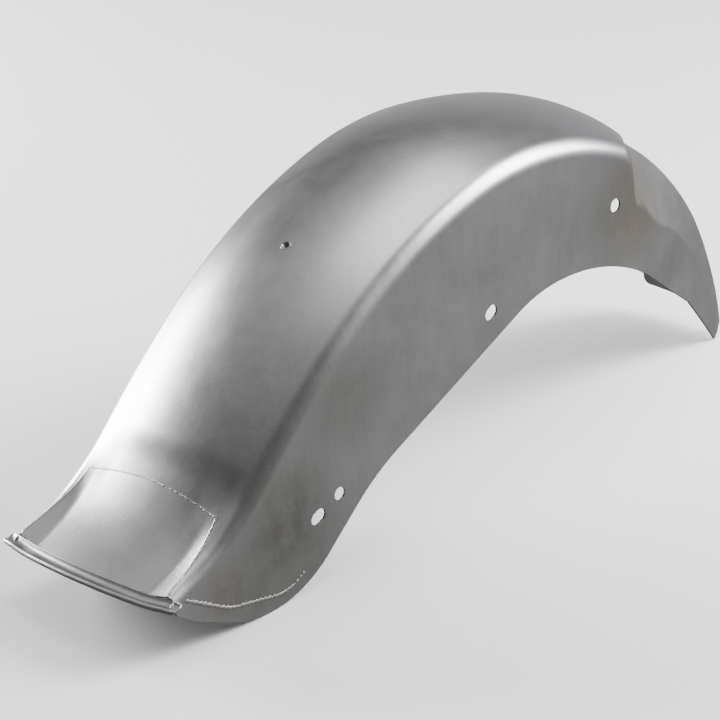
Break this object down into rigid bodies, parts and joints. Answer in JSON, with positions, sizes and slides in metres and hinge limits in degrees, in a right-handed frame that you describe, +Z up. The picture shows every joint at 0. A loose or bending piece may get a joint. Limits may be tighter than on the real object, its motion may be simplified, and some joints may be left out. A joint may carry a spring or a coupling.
{
  "type": "motorcycle rear fender",
  "caption": "Bare steel rear fender of a motorcycle: a deep arch with rounded shoulders, flat skirts and a flared tail with a rolled lip.",
  "frame": {"origin": "on the floor, at the middle of the bounding box, with the fender resting on its two tail corners and the tip of its nose", "axes": "+X towards the machine's front, +Y towards its left, +Z up"},
  "size_m": [0.8577, 0.2272, 0.3415],
  "materials": {
    "raw_steel": "satin, unpainted",
    "bung_steel": "dull, machined"
  },
  "bodies": {
    "root": {"fender_shell": "raw_steel", "tail_panel": "raw_steel", "tail_strip_left": "raw_steel", "tail_strip_right": "raw_steel", "seat_bung": "bung_steel"}
  },
  "joints": []
}
